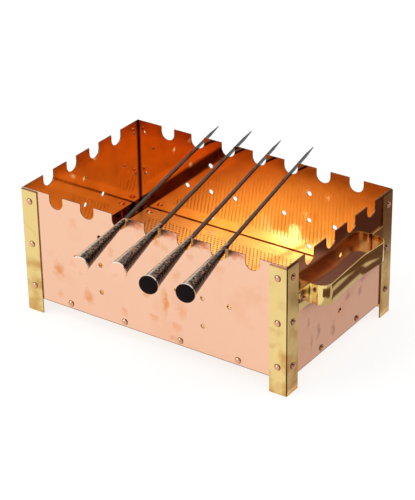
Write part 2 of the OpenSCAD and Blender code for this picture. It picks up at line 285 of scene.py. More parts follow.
class SkewerSettings(bpy.types.PropertyGroup):
    """Sizes of the hand grips and their caps."""

    grip: length("Grip", "Length of the hand grip with its cap", 114.0)
    large: length("Large end", "Diameter of the grip at the cap", 19.2)
    small: length("Small end", "Diameter of the grip where its nose begins", 7.0)
    nose: length("Nose", "Length of the nose", 10.0)
    nose_end: length("Nose end", "Diameter of the nose at the blade", 5.2)
    cap: length("Cap", "Diameter of the end cap", 21.4)
    cap_thickness: length("Cap thickness", "Thickness of the end cap", 2.2)
    cap_edge: length("Cap edge", "Rounding of the end cap's edges", 0.35)
    dent_size: length("Dent size", "Width of a hammer dent", 2.6)
    dent_depth: length("Dent depth", "Depth of a hammer dent", 0.30)
    around: IntProperty(name="Around", description="Points around the grip", default=120, min=12)
    along: IntProperty(name="Along", description="Rings along the grip", default=230, min=12)


class StageSettings(bpy.types.PropertyGroup):
    """Camera, floor and light."""

    azimuth: angle("Azimuth", "Camera's bearing from the right, seen from above", -55.23)
    elevation: angle("Elevation", "Camera's height above the horizon", 28.08)
    roll: angle("Roll", "Camera's turn about its own axis", -0.94)
    distance: length("Distance", "Camera to aim point", 2146.0, 100.0, 10000.0)
    aim: FloatVectorProperty(
        name="Aim", description="Point that the camera looks at", default=(-0.0232, 0.04675, 0.0544), size=3
    )
    lens_share: FloatProperty(
        name="Lens share", description="Focal length over the frame's long side", default=3.73
    )
    floor: length("Floor", "Width of the floor", 8000.0, 1000.0, 20000.0)
    use_cards: BoolProperty(name="Cards", description="Cards that the metal mirrors", default=True)


SETTINGS = {
    "brazier_finish": FinishSettings,
    "brazier_grate": GrateSettings,
    "brazier_strap": StrapSettings,
    "brazier_rivet": RivetSettings,
    "brazier_skewer": SkewerSettings,
    "brazier_stage": StageSettings,
}


# Node tree helpers


class Tree:
    """Short calls that add and link nodes in one tree."""

    def __init__(self, tree):
        self.tree = tree

    def node(self, kind, inputs=(), **props):
        node = self.tree.nodes.new(kind)
        for key, value in props.items():
            setattr(node, key, value)
        for key, value in dict(inputs).items():
            self.feed(node.inputs[key], value)
        return node

    def add(self, kind, inputs=(), **props):
        """Adds a node and returns its outputs."""
        return self.node(kind, inputs, **props).outputs

    def feed(self, socket, value):
        """Links an output to a socket, or sets the socket's value, where a colour has three numbers."""
        if isinstance(value, bpy.types.NodeSocket):
            self.tree.links.new(value, socket)
        elif socket.type == "RGBA":
            socket.default_value = (*value, 1.0)
        else:
            socket.default_value = value

    def math(self, operation, *values):
        return self.add("ShaderNodeMath", enumerate(values), operation=operation)[0]

    plus = partialmethod(math, "ADD")
    minus = partialmethod(math, "SUBTRACT")
    times = partialmethod(math, "MULTIPLY")
    over = partialmethod(math, "DIVIDE")
    most = partialmethod(math, "MAXIMUM")

    def vector(self, operation, *values):
        return self.add("ShaderNodeVectorMath", enumerate(values), operation=operation)[0]

    def split(self, place):
        return self.add("ShaderNodeSeparateXYZ", {0: place})

    def noise(self, place, scale, detail, **more):
        return self.add("ShaderNodeTexNoise", {"Vector": place, "Scale": scale, "Detail": detail, **more})

    def attribute(self, label):
        return self.add("ShaderNodeAttribute", attribute_name=label)["Fac"]

    def group(self, name, place, **inputs):
        inputs["Vector"] = place
        return self.add("ShaderNodeGroup", inputs, node_tree=bpy.data.node_groups[name])

    def ramp(self, value, *stops):
        """Greys at the given places, as (place, grey) pairs."""
        node = self.node("ShaderNodeValToRGB", {"Fac": value})
        cells = node.color_ramp.elements
        while len(cells) < len(stops):
            cells.new(0.5)
        for cell, (place, grey) in zip(cells, stops):
            cell.position = place
            cell.color = (grey, grey, grey, 1.0)
        return node.outputs["Color"]

    def mix(self, factor, a, b):
        inputs = {"Factor": factor, "A": a, "B": b}
        return self.add("ShaderNodeMix", inputs, data_type="RGBA")["Result"]


def new_group(name, inputs, outputs, kind="ShaderNodeTree"):
    """A node group with sockets from {label: kind}; returns its helper, its inputs and its results."""
    group = bpy.data.node_groups.new(name, kind)
    for labels, way in ((inputs, "INPUT"), (outputs, "OUTPUT")):
        for label, socket in labels.items():
            group.interface.new_socket(label, in_out=way, socket_type="NodeSocket" + socket)
    tree = Tree(group)
    return tree, tree.add("NodeGroupInput"), tree.node("NodeGroupOutput").inputs


def patina_group():
    """Cloudy blotches that shift a metal's colour and roughness."""
    tree, given, out = new_group(
        "Patina",
        {"Vector": "Vector", "Metal": "Color", "Stain": "Color", "Scale": "Float", "Amount": "Float"},
        {"Color": "Color", "Mask": "Float"},
    )
    cloud = tree.noise(given["Vector"], given["Scale"], 3.0, Roughness=0.5, Distortion=0.1)["Fac"]
    amount = tree.times(tree.ramp(cloud, (0.55, 0.0), (0.72, 1.0)), given["Amount"])
    tree.feed(out["Color"], tree.mix(amount, given["Metal"], given["Stain"]))
    tree.feed(out["Mask"], amount)


def grain_group():
    """Fine polishing lines, as a height and a roughness offset."""
    tree, given, out = new_group(
        "Polishing grain", {"Vector": "Vector", "Stretch": "Vector"}, {"Height": "Float", "Wear": "Float"}
    )
    mapping = tree.add("ShaderNodeMapping", {"Vector": given["Vector"], "Scale": given["Stretch"]})
    lines = tree.noise(mapping[0], 1.0, 3.0, Roughness=0.7)["Fac"]
    tree.feed(out["Height"], lines)
    tree.feed(out["Wear"], tree.minus(lines, 0.5))


def ripple_group():
    """Slow waves of a thin sheet, as a height."""
    tree, given, out = new_group("Sheet ripple", {"Vector": "Vector", "Scale": "Float"}, {"Height": "Float"})
    tree.feed(out["Height"], tree.noise(given["Vector"], given["Scale"], 1.0, Roughness=0.4)["Fac"])


def side_group():
    """Tells the inner face of a sheet box, given by half its size, from its outer face and its edges."""
    sizes = dict.fromkeys(("Length", "Depth", "Thickness", "Corner"), "Float")
    tree, given, out = new_group(
        "Sheet sides",
        {"Vector": "Vector", "Middle": "Vector", **sizes},
        dict.fromkeys(("Inside", "Cut", "Corner", "Rim"), "Float"),
    )
    away = tree.split(tree.vector("SUBTRACT", given["Vector"], given["Middle"]))
    from_end = tree.minus(given["Length"], tree.math("ABSOLUTE", away["X"]))
    from_side = tree.minus(given["Depth"], tree.math("ABSOLUTE", away["Y"]))
    depth = tree.over(tree.math("MINIMUM", from_end, from_side), given["Thickness"])
    inside = tree.ramp(depth, (0.86, 0.0), (0.94, 1.0))
    past_outer = tree.ramp(depth, (0.10, 0.0), (0.20, 1.0))
    tree.feed(out["Inside"], inside)
    tree.feed(out["Cut"], tree.times(past_outer, tree.minus(1.0, inside)))
    far = tree.most(from_end, from_side)
    past_corner = tree.over(tree.minus(far, given["Thickness"]), given["Corner"])
    tree.feed(out["Corner"], tree.times(tree.ramp(past_corner, (0.25, 1.0), (1.0, 0.0)), inside))
    tree.feed(out["Rim"], tree.ramp(tree.over(far, given["Thickness"]), (0.25, 1.0), (0.8, 0.0)))


def mark_group():
    """A soft round mark about a middle, as a mask."""
    tree, given, out = new_group(
        "Soft mark",
        {"Vector": "Vector", "Middle": "Vector", "Size": "Vector", "Strength": "Float"},
        {"Mask": "Float"},
    )
    scaled = tree.vector("DIVIDE", tree.vector("SUBTRACT", given["Vector"], given["Middle"]), given["Size"])
    reach = tree.add("ShaderNodeVectorMath", {0: scaled}, operation="LENGTH")["Value"]
    tree.feed(out["Mask"], tree.times(tree.ramp(reach, (0.25, 1.0), (1.0, 0.0)), given["Strength"]))


def new_material(name):
    """An empty material, with the helper for its tree."""
    material = bpy.data.materials.new(name)
    material.use_nodes = True
    material.node_tree.nodes.clear()
    return material, Tree(material.node_tree)


def metal(
    name, base, stain, roughness, *, blotch, amount, wear, grain=(40.0, 40.0, 900.0),
    grain_depth=0.02 * MM, ripple=0.0, ripple_depth=0.0, paint=None, coat=0.0,
):
    """A metal with blotches, polishing lines and, where asked, sheet waves or a paint of its own."""
    material, tree = new_material(name)
    place = tree.add("ShaderNodeTexCoord")["Object"]
    patina = tree.group("Patina", place, Metal=base, Stain=stain, Scale=blotch, Amount=amount)
    lines = tree.group("Polishing grain", place, Stretch=grain)
    shade = patina["Color"]
    rough = tree.plus(tree.times(lines["Wear"], wear), roughness)
    rough = tree.plus(rough, tree.times(patina["Mask"], wear / 2))
    metallic = 1.0
    if paint:
        shade, rough, metallic = paint(tree, place, shade, rough)
    bump = tree.add("ShaderNodeBump", {"Height": lines["Height"], "Distance": grain_depth})[0]
    if ripple_depth:
        waves = tree.group("Sheet ripple", place, Scale=ripple)["Height"]
        bump = tree.add("ShaderNodeBump", {"Height": waves, "Distance": ripple_depth, "Normal": bump})[0]
    shader = tree.add(
        "ShaderNodeBsdfPrincipled",
        {
            "Base Color": shade, "Metallic": metallic, "Roughness": tree.most(rough, LEAST_ROUGHNESS),
            "Normal": bump, "Coat Weight": coat, "Coat Roughness": COAT_ROUGHNESS,
        },
    )
    tree.add("ShaderNodeOutputMaterial", {"Surface": shader[0]})
    return material


# Paints: each changes a metal's colour, roughness and metallic share from place to place


def sheet_sides(tree, place, low, high, thickness):
    """Masks of a sheet box that spans the given corners."""
    half = (high - low) / 2
    sizes = {"Length": half.x, "Depth": half.y, "Thickness": thickness, "Corner": CORNER_SHADE}
    return tree.group("Sheet sides", place, Middle=(low + high) / 2, **sizes)


def marks(tree, place, spots):
    """Strongest of several soft marks, each a middle, a size and a strength."""
    mask = 0.0
    for middle, size, strength in spots:
        spot = tree.group("Soft mark", place, Middle=middle, Size=size, Strength=strength)
        mask = tree.most(spot["Mask"], mask)
    return mask


def wall_paint(look):
    """Fired copper on the inner faces, with scorch and painted shade towards the top, painted shade in the
    corners, on the cut edges, along the bottom edge and high on the end walls, and painted highlights on the
    notch rims.
    """
    low = Vector((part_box("left_wall")[0].x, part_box("front_wall")[0].y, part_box("front_wall")[0].z))
    high = Vector((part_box("right_wall")[1].x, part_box("back_wall")[1].y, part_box("front_wall")[1].z))
    thin = MARK_REACH
    rim = high.z - RIM_DEPTH
    front = [((x * MM, low.y, z * MM), (w * MM, thin, h * MM), s) for x, z, w, h, s in FRONT_MARKS]
    right = [((high.x, y * MM, z * MM), (thin, w * MM, h * MM), s) for y, z, w, h, s in RIGHT_MARKS]
    glow, red = (
        [(((x + shift) * MM, low.y, rim), (w * MM, thin, h * MM), s) for x in NOTCH_RIMS]
        for shift, w, h, s in (RIM_HIGHLIGHT, RIM_RED)
    )
    tints = ((front, look.copper_heat), (right, look.smudge), (red, look.rim_red), (glow, look.rim_highlight))

    def paint(tree, place, shade, rough):
        shift = tree.vector("SUBTRACT", tree.noise(place, 130.0, 4.0)["Color"], (0.5, 0.5, 0.5))
        loose = tree.vector("ADD", place, tree.vector("MULTIPLY", shift, (MARK_SHIFT,) * 3))
        for spots, tint in tints:
            shade = tree.mix(marks(tree, loose, spots), shade, tint)
        # The painted rim highlight is lit as a matte paint, not as metal
        highlighted = tree.times(marks(tree, loose, glow), 0.9)
        rough = tree.plus(rough, tree.times(marks(tree, loose, glow + red), 0.1))
        masks = sheet_sides(tree, place, low, high, SHEET)
        along, _, height = tree.split(place)
        # Painted shade high on the end walls' outer faces
        end = tree.math("GREATER_THAN", tree.math("ABSOLUTE", along), high.x - OUTER_SKIN)
        end_shade = tree.ramp(tree.over(tree.minus(height, END_SHADE_START), END_SHADE_RISE), (0.1, 0.0), (0.5, 0.85))
        shade = tree.mix(tree.times(end, end_shade), shade, look.scorch_and_shade)
        # Scorch and painted shade along the top of the fire side, with cloudy stains
        cloud = tree.noise(place, 22.0, 4.0)["Fac"]
        rise = tree.over(tree.minus(height, high.z - TOP_BAND_DEPTH), TOP_BAND_DEPTH)
        top = tree.ramp(tree.plus(rise, tree.minus(cloud, 0.5)), (0.3, 0.0), (1.0, 0.75))
        stain = tree.ramp(cloud, (0.55, 0.0), (0.78, 0.35))
        fired = tree.mix(tree.most(top, stain), look.copper_inside, look.scorch_and_shade)
        # Painted shade in the inner corners
        fired = tree.mix(tree.times(masks["Corner"], 0.85), fired, look.edge_shade)
        # Painted shade along the walls' bottom edge
        hem = tree.ramp(tree.over(tree.minus(height, low.z), MM), (0.4, 0.85), (1.0, 0.0))
        shade = tree.mix(hem, shade, look.edge_shade)
        shade = tree.mix(masks["Inside"], shade, fired)
        # Painted shade on the cut edges
        shade = tree.mix(masks["Cut"], shade, look.edge_shade)
        rough = tree.plus(rough, tree.times(masks["Cut"], 0.2))
        polished = tree.times(masks["Inside"], tree.minus(INSIDE_ROUGHNESS, rough))
        return shade, tree.plus(rough, polished), tree.minus(1.0, highlighted)

    return paint


def leg_paint(look):
    """Tarnish that gathers at the feet, painted shade along the corner and the outer edges, painted shade on
    the cut edges and a painted shadow band at the head.
    """
    low, high = body_box()

    def paint(tree, place, shade, rough):
        masks = sheet_sides(tree, place, low, high, LEG_SHEET)
        height = tree.split(place)["Z"]
        cloud = tree.times(tree.minus(tree.noise(place, 45.0, 5.0)["Fac"], 0.5), 4.0)
        foot = tree.minus(1.0, tree.over(height, FOOT_TARNISH))
        film = tree.ramp(tree.plus(foot, cloud), (0.2, 0.0), (1.0, 0.8))
        shade = tree.mix(film, shade, look.brass_tarnish)
        # Painted shadow in a band at the head, and painted shade along the outer edges
        head = tree.ramp(tree.over(tree.minus(high.z, height), HEAD_BAND), (0.15, 0.7), (0.3, 0.0))
        edges = tree.most(head, tree.times(masks["Rim"], 0.7))
        shade = tree.mix(edges, shade, look.edge_shade)
        return tree.mix(masks["Cut"], shade, look.edge_shade), rough, 1.0

    return paint


def grip_paint(look):
    """Dark dents between rubbed ridges, with patches of patina, a painted highlight along one side, and
    painted shade on the side away from it and at the collar by the cap.
    """

    def paint(tree, place, shade, rough):
        under = tree.attribute("under")
        cloud = tree.ramp(tree.noise(place, 110.0, 3.0)["Fac"], (0.42, 0.0), (0.62, 0.8))
        # Painted highlight along the lit side
        band = tree.ramp(under, (0.06, 1.0), (0.15, 0.0))
        patina_and_highlight = tree.mix(band, tree.mix(cloud, shade, look.grip_olive), look.grip_highlight)
        deep_and_collar = tree.ramp(tree.attribute("dent"), (0.08, 0.0), (0.40, 1.0))
        deep_and_collar = tree.times(deep_and_collar, tree.minus(1.0, tree.times(band, 0.7)))
        # Painted shade on the side away from the light, added to the dark dents
        dark = tree.most(deep_and_collar, tree.ramp(under, (0.30, 0.0), (0.55, 0.92)))
        return tree.mix(dark, patina_and_highlight, look.grip), rough, 1.0

    return paint


def rim_paint(rim_light, start, end):
    """Another colour towards a turned piece's rim: painted shade round the rivet heads, a painted highlight
    on the cap rims.
    """

    def paint(tree, place, shade, rough):
        rim = tree.ramp(tree.attribute("rim"), (start, 0.0), (end, 0.9))
        return tree.mix(rim, shade, rim_light), rough, 1.0

    return paint


def dress(node, material):
    """Gives a frame node its material."""
    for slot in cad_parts[node].material_slots:
        slot.material = material


# Mesh helpers


def put(name, data):
    """A new object in the scene."""
    made = bpy.data.objects.new(name, data)
    bpy.context.scene.collection.objects.link(made)
    return made


def piece(name, verts, faces, material, smooth=True):
    """A new mesh object with its place in its mesh."""
    mesh = bpy.data.meshes.new(name)
    mesh.from_pydata([tuple(v) for v in verts], [], faces)
    mesh.update()
    for face in mesh.polygons:
        face.use_smooth = smooth
    mesh.materials.append(material)
    return put(name, mesh)


def note_points(obj, label, values):
    """Stores one number per vertex for the object's material."""
    obj.data.attributes.new(label, "FLOAT", "POINT").data.foreach_set("value", values)


def bands(rings):
    """Four-sided faces between each ring of vertex numbers and the next."""
    faces = []
    for a, b in zip(rings, rings[1:]):
        for i in range(len(a)):
            j = (i + 1) % len(a)
            faces.append((a[i], a[j], b[j], b[i]))
    return faces


def even_rings(count, sides, first=0):
    """Rings of vertex numbers, for rings that follow each other in a mesh."""
    return [range(n, n + sides) for n in range(first, first + count * sides, sides)]


def quarter(x, y, radius, start):
    """Four points on a quarter of a circle, from a start angle in degrees."""
    turns = [math.radians(start + 30 * k) for k in range(4)]
    return [(x + radius * math.cos(turn), y + radius * math.sin(turn)) for turn in turns]


def on_ball(turn, rise, reach=1.0):
    """Point at a bearing, an angle above the horizon and a distance."""
    level = reach * math.cos(rise)
    return Vector((level * math.cos(turn), level * math.sin(turn), reach * math.sin(rise)))


def lathe(profile, sides, place):
    """Turned solid from (radius, height) pairs, first and last on the axis; place maps each point."""
    verts = []
    for radius, height in profile:
        for i in range(sides if radius else 1):
            turn = math.tau * i / sides
            verts.append(place(Vector((radius * math.cos(turn), radius * math.sin(turn), height))))
    rings = even_rings(len(profile) - 2, sides, 1)
    pairs = [(i, (i + 1) % sides) for i in range(sides)]
    bottom = [(0, rings[0][j], rings[0][i]) for i, j in pairs]
    top = [(rings[-1][i], rings[-1][j], len(verts) - 1) for i, j in pairs]
    return verts, bottom + bands(rings) + top


def crisp(obj, degrees=40.0):
    """Smooth shading that keeps the edges sharper than an angle."""
    mesh = obj.data
    mesh.shade_smooth()
    bm = bmesh.new()
    bm.from_mesh(mesh)
    for edge in bm.edges:
        edge.smooth = len(edge.link_faces) == 2 and edge.calc_face_angle() < math.radians(degrees)
    bm.to_mesh(mesh)
    bm.free()
    return obj


def node_islands(node):
    """Boxes of the separate solids in a frame node, each as a lowest and a highest corner."""
    bm = bmesh.new()
    bm.from_mesh(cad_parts[node].data)
    bmesh.ops.remove_doubles(bm, verts=bm.verts, dist=WELD)
    seen = set()
    boxes = []
    for start in bm.verts:
        if start in seen:
            continue
        seen.add(start)
        queue = [start]
        for vert in queue:
            for edge in vert.link_edges:
                other = edge.other_vert(vert)
                if other not in seen:
                    seen.add(other)
                    queue.append(other)
        boxes.append(enclosing([vert.co for vert in queue]))
    bm.free()
    return boxes


def plant(tree, points, shape, **more):
    """Sets a shape on each point, as geometry of its own."""
    shape = tree.add("GeometryNodeObjectInfo", {"Object": shape})["Geometry"]
    copies = tree.add("GeometryNodeInstanceOnPoints", {"Points": points, "Instance": shape, **more})[0]
    return tree.add("GeometryNodeRealizeInstances", {"Geometry": copies})[0]


def scatter_tree():
    """Geometry tree that puts one shape on each point, turned so that its Z follows the point's 'out'."""
    inputs = {"Geometry": "Geometry", "Shape": "Object", "Metal": "Material"}
    tree, given, out = new_group("Rivets", inputs, {"Geometry": "Geometry"}, "GeometryNodeTree")
    facing = tree.add("GeometryNodeInputNamedAttribute", {"Name": "out"}, data_type="FLOAT_VECTOR")
    turn = tree.add("FunctionNodeAlignRotationToVector", {"Vector": facing["Attribute"]}, axis="Z")
    real = plant(tree, given["Geometry"], given["Shape"], Rotation=turn["Rotation"])
    finish = tree.add("GeometryNodeSetMaterial", {"Geometry": real, "Material": given["Metal"]})
    tree.feed(out["Geometry"], finish[0])
    return tree.tree


def field_tree():
    """Geometry tree for a staggered field of cells, with each second row shifted by half a pitch."""
    inputs = {
        "Geometry": "Geometry", "Cell": "Object", "Columns": "Int", "Rows": "Int", "Pitch": "Float",
        "Centre": "Vector", "Metal": "Material",
    }
    tree, given, out = new_group("Perforated field", inputs, {"Geometry": "Geometry"}, "GeometryNodeTree")
    pitch, rows, columns = given["Pitch"], given["Rows"], given["Columns"]
    width = tree.times(tree.minus(columns, 1.0), pitch)
    depth = tree.times(tree.minus(rows, 1.0), tree.times(pitch, ROW_SHARE))
    sizes = {"Size X": width, "Size Y": depth, "Vertices X": columns, "Vertices Y": rows}
    grid = tree.add("GeometryNodeMeshGrid", sizes)["Mesh"]
    index = tree.add("GeometryNodeInputIndex")[0]
    odd = tree.minus(tree.math("MODULO", tree.math("MODULO", index, rows), 2.0), 0.5)
    offset = tree.add("ShaderNodeCombineXYZ", {"X": tree.times(odd, tree.times(pitch, 0.5))})[0]
    place = tree.vector("ADD", offset, given["Centre"])
    moved = tree.add("GeometryNodeSetPosition", {"Geometry": grid, "Offset": place})[0]
    real = plant(tree, moved, given["Cell"])
    welded = tree.add("GeometryNodeMergeByDistance", {"Geometry": real, "Distance": WELD})[0]
    finish = tree.add("GeometryNodeSetMaterial", {"Geometry": welded, "Material": given["Metal"]})
    tree.feed(out["Geometry"], finish[0])
    return tree.tree


def grown(name, points, tree, values, material):
    """Runs a geometry tree on an object and returns the result as a plain mesh object."""
    seed = piece(name + "_seed", points["verts"], [], material)
    if "out" in points:
        facing = seed.data.attributes.new("out", "FLOAT_VECTOR", "POINT")
        facing.data.foreach_set("vector", [c for v in points["out"] for c in v])
    modifier = seed.modifiers.new("Grow", "NODES")
    modifier.node_group = tree
    for socket in tree.interface.items_tree:
        if socket.name in values:
            modifier[socket.identifier] = values[socket.name]
    graph = bpy.context.evaluated_depsgraph_get()
    mesh = bpy.data.meshes.new_from_object(seed.evaluated_get(graph))
    mesh.name = name
    if not mesh.materials:
        mesh.materials.append(material)
    bpy.data.objects.remove(seed)
    return put(name, mesh)


# Pieces


class BRAZIER_OT_finishes(bpy.types.Operator):
    """Makes the metals and gives them to the frame's own nodes"""

    bl_idname = "brazier.finishes"
    bl_label = "Metal finishes"

    def execute(self, context):
        look = context.scene.brazier_finish
        for build in (patina_group, mark_group, grain_group, ripple_group, side_group):
            build()
        sheet, end_sheet = (
            metal(
                name, look.copper, look.copper_heat, roughness, blotch=26.0, amount=0.22, wear=0.08,
                grain=(30.0, 30.0, 700.0), grain_depth=0.006 * MM, ripple=9.0, ripple_depth=0.4 * MM,
                paint=wall_paint(look),
            )
            for name, roughness in (("Copper sheet", 0.22), ("Copper end sheet", 0.15))
        )
        pan = metal(
            "Sooty copper", look.pan, look.scorch_and_shade, 0.35, blotch=30.0, amount=0.8, wear=0.2,
            ripple=9.0, ripple_depth=0.5 * MM,
        )
        legs = metal(
            "Brass angle", look.brass, look.brass_tarnish, 0.20, blotch=22.0, amount=0.35, wear=0.14,
            grain=(600.0, 600.0, 18.0), ripple=25.0, ripple_depth=0.1 * MM, paint=leg_paint(look),
        )
        metal(
            "Brass strap", look.brass, look.brass_tarnish, 0.10, blotch=24.0, amount=0.25, wear=0.10,
            grain=(500.0, 20.0, 500.0), ripple=20.0, ripple_depth=0.1 * MM,
        )
        metal(
            "Grate brass", look.grate_brass, look.brass_tarnish, 0.50, blotch=18.0, amount=0.35,
            grain=(60.0, 700.0, 60.0), wear=0.12, coat=1.0,
        )
        # Painted shade round the rim of each rivet head
        rivet = metal(
            "Rivet copper", look.rivet, look.scorch_and_shade, 0.10, blotch=160.0, amount=0.4, wear=0.08,
            paint=rim_paint(look.edge_shade, 0.70, 0.98),
        )
        metal(
            "Hammered grip", look.grip_high, look.scorch_and_shade, 0.20, blotch=60.0, amount=0.6,
            grain=(300.0, 300.0, 300.0), wear=0.20, paint=grip_paint(look),
        )
        # Painted highlight on the rims of the caps
        rim = rim_paint(look.cap_rim_highlight, 0.2, 0.8)
        metal(
            "Copper cap", look.copper, look.copper_heat, 0.14, blotch=60.0, amount=0.4, wear=0.1, paint=rim,
        )
        # Painted dark reflection on two of the caps
        metal("Shaded cap", look.cap_shade_and_stain, look.grip, 0.30, blotch=90.0, amount=0.3, wear=0.2, paint=rim)
        blade = metal(
            "Blade steel", look.steel, look.cap_shade_and_stain, 0.28, blotch=60.0, amount=0.5, wear=0.3,
            grain=(900.0, 60.0, 900.0), grain_depth=0.04 * MM,
        )
        for node in WALLS:
            dress(node, end_sheet if node in END_WALLS else sheet)
        dress("pan", pan)
        for node in LEGS:
            dress(node, legs)
        dress("grate_posts", rivet)
        for i in SKEWERS:
            dress(f"skewer_{i}_blade", blade)
        return {"FINISHED"}


def rivet_shape(size, stack, copper):
    """One rivet through a stack of sheets, with the outer face at Z = 0."""
    profile = [
        (0, -stack - size.tail_height), *dome(size.tail / 2, size.tail_height, -stack, -1),
        (size.shank / 2, -stack), (size.shank / 2, 0),
        *dome(size.head / 2, size.head_height, 0, 1), (0, size.head_height),
    ]
    verts, faces = lathe(profile, size.segments, lambda p: p)
    made = crisp(piece("rivet_shape", verts, faces, copper))
    note_points(made, "rim", [math.hypot(v.x, v.y) * 2 / size.head for v in verts])
    return made


def dome(radius, height, base, side):
    """(radius, height) pairs up a dome, from its rim to near its top, or down where side is -1."""
    steps = 7
    ball = (radius * radius + height * height) / (2 * height)
    radii = [radius * math.cos(math.pi / 2 * i / steps) for i in range(steps)]
    pairs = [(r, base + side * (height - ball + math.sqrt(ball * ball - r * r))) for r in radii]
    return pairs[::side]


class BRAZIER_OT_rivets(bpy.types.Operator):
    """Sets a smooth rivet at each place that the frame has one"""

    bl_idname = "brazier.rivets"
    bl_label = "Rivets"

    def execute(self, context):
        size = context.scene.brazier_rivet
        copper = bpy.data.materials["Rivet copper"]
        tree = scatter_tree()
        middle = sum(body_box(), Vector()) / 2
        for node in RIVET_SETS:
            by_stack = {}
            for low, high in node_islands(node):
                extent = high - low
                axis = 0 if extent.x < extent.y else 1
                centre = (low + high) / 2
                outwards = Vector()
                outwards[axis] = 1.0 if centre[axis] > middle[axis] else -1.0
                foot = centre + outwards * (extent[axis] / 2 - size.head_height)
                stack = round(extent[axis] - size.head_height - size.tail_height, 5)
                by_stack.setdefault(stack, []).append((foot, outwards))
            for stack, places in by_stack.items():
                shape = rivet_shape(size, stack, copper)
                points = {"verts": [p for p, _ in places], "out": [tuple(o) for _, o in places]}
                made = grown(node + "_set", points, tree, {"Shape": shape, "Metal": copper}, copper)
                bpy.data.objects.remove(shape)
                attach(made, "brazier")
                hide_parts(node)
        return {"FINISHED"}


def grate_edge(corners, top, bottom, brass):
    """Plain flat edge between the outer four and the inner four corners."""
    verts = [(x, y, z) for z in (top, bottom) for x, y in corners]
    top_outer, top_inner, low_outer, low_inner = even_rings(4, 4)
    faces = bands([top_outer, top_inner, low_inner, low_outer, top_outer])
    return piece("grate_edge", verts, faces, brass, smooth=False)


def rectangle(low, high):
    """Corners of a box, seen from above."""
    return [(low.x, low.y), (high.x, low.y), (high.x, high.y), (low.x, high.y)]


def grate_cell(size, brass):
    """One six-sided cell of sheet round one perforation of twelve sides."""
    outer = (size.pitch / math.sqrt(3), size.pitch / 2)
    inner = (size.hole / 2, size.hole / 2)
    thick = GRATE_SHEET - 2 * size.step
    verts = []
    for radii, z in ((outer, 0), (inner, 0), (inner, -thick), (outer, -thick)):
        for i in range(12):
            turn = math.radians(30 * i + 30)
            verts.append((radii[i % 2] * math.cos(turn), radii[i % 2] * math.sin(turn), z))
    return piece("grate_cell", verts, bands(even_rings(4, 12)), brass, smooth=False)


class BRAZIER_OT_grate(bpy.types.Operator):
    """Makes the grate: a plain edge round two fields of fine perforations"""

    bl_idname = "brazier.grate"
    bl_label = "Perforated grate"

    def execute(self, context):
        size = context.scene.brazier_grate
        brass = bpy.data.materials["Grate brass"]
        low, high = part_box("grate")
        inner_low = Vector((low.x + size.border, low.y + size.border, 0))
        inner_high = Vector((high.x - size.border, high.y - size.border, 0))
        edge = grate_edge(rectangle(low, high) + rectangle(inner_low, inner_high), high.z, low.z, brass)
        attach(edge, "grate")
        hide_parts("grate")
        tree = field_tree()
        cell = grate_cell(size, brass)
        rows = math.ceil((inner_high.y - inner_low.y) / (size.pitch * ROW_SHARE)) + 1
        columns = math.ceil((inner_high.x - inner_low.x) / size.pitch / 2) + 1
        middle = (low + high) / 2
        for side, name in ((-1, "left"), (1, "right")):
            values = {
                "Cell": cell, "Columns": columns, "Rows": rows, "Pitch": size.pitch, "Metal": brass,
                "Centre": (middle.x + side * columns * size.pitch / 2, middle.y, high.z - size.step),
            }
            field = grown("grate_field_" + name, {"verts": [(0, 0, 0)]}, tree, values, brass)
            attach(field, "grate")
        bpy.data.objects.remove(cell)
        return {"FINISHED"}


def strap_path(size, low, high):
    """Middle line of a strap that just reaches the far side of its box."""
    reach = high.x - low.x - size.thickness / 2
    end = (high.y - low.y) / 2
    furthest = max(point.x for point, _ in strap_line(size, reach, end))
    return strap_line(size, 2 * reach - furthest, end)


def strap_line(size, reach, end):
    """Middle line seen from above, as (distance out, distance along) with the direction to its left."""
    mid = size.thickness / 2
    arm = size.grip / 2
    stops = [
        (mid, -end), (mid, -arm), (reach, -arm), (reach - size.bow, size.bow_offset),
        (reach, arm), (mid, arm), (mid, end),
    ]
    stops = [Vector(stop) for stop in stops]
    radii = [size.foot_radius, size.corner_radius, size.bow_radius, size.corner_radius, size.foot_radius]
    line = []
    for before, here, after, radius in zip(stops, stops[1:], stops[2:], radii):
        line += round_bend(before, here, after, radius + mid, size.steps)
    return [(stops[0], Vector((-1, 0))), *line, (stops[-1], Vector((-1, 0)))]


def round_bend(before, here, after, radius, steps):
    """Points of a round bend between two straight runs, with the direction to the left of each."""
    first = (here - before).normalized()
    second = (after - here).normalized()
    turn = math.atan2(first.x * second.y - first.y * second.x, first.dot(second))
    left = Vector((-first.y, first.x))
    side = math.copysign(1.0, turn)
    centre = here - first * radius * math.tan(abs(turn) / 2) + left * radius * side
    made = []
    for i in range(steps + 1):
        facing = left.copy()
        facing.rotate(Matrix.Rotation(turn * i / steps, 2))
        made.append((centre - facing * radius * side, facing))
    return made


def sweep(size, path, bottom, top):
    """Carries a round-edged section of the strap along the path."""
    half = size.thickness / 2
    e = size.edge
    section = []
    corners = ((half - e, top - e), (e - half, top - e), (e - half, bottom + e), (half - e, bottom + e))
    for (x, z), start in zip(corners, (0, 90, 180, 270)):
        section += quarter(x, z, e, start)
    verts = [(p.x + facing.x * s, p.y + facing.y * s, z) for p, facing in path for s, z in section]
    rings = even_rings(len(path), len(section))
    faces = [(a, d, c, b) for a, b, c, d in bands(rings)]
    return verts, faces + [tuple(rings[0]), tuple(reversed(rings[-1]))]


